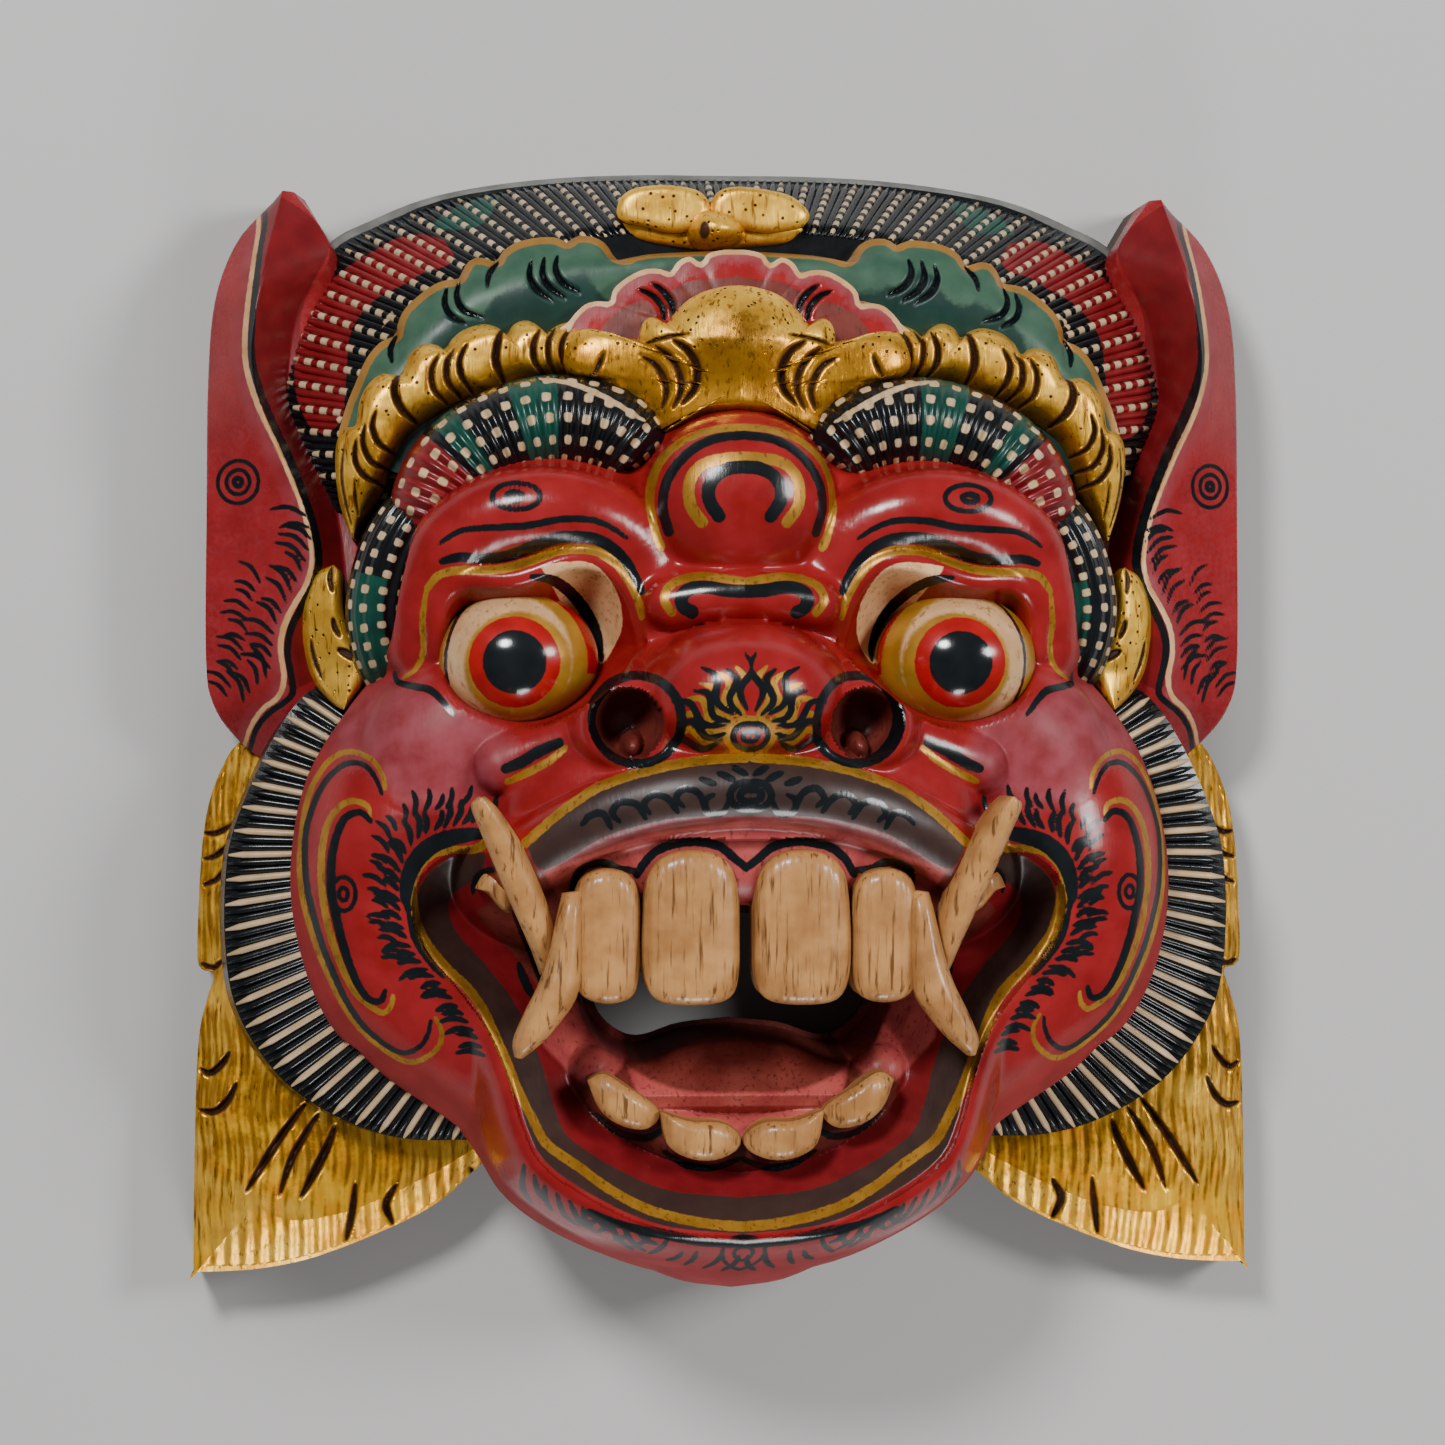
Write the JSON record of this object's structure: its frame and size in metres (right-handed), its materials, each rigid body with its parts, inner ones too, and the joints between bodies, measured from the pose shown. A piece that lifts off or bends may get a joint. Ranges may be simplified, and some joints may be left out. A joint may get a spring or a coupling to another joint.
{
  "type": "kirtimukha mask",
  "caption": "Carved and painted wooden kirtimukha wall mask with bulging eyes, tusks, gilded crown, ribbed ruff and leaf wings, hollowed at the back",
  "frame": {"origin": "centre of the mask's outline on the flat back, in the plane of the wall", "axes": "+Y up the face to the crown, +Z out of the wall through the nose, +X to the right as one looks at the face"},
  "size_m": [0.2862, 0.3001, 0.115],
  "materials": {
    "painted_wood": "glossy paint and gilding"
  },
  "bodies": {
    "root": {"mask": "painted_wood"}
  },
  "joints": []
}
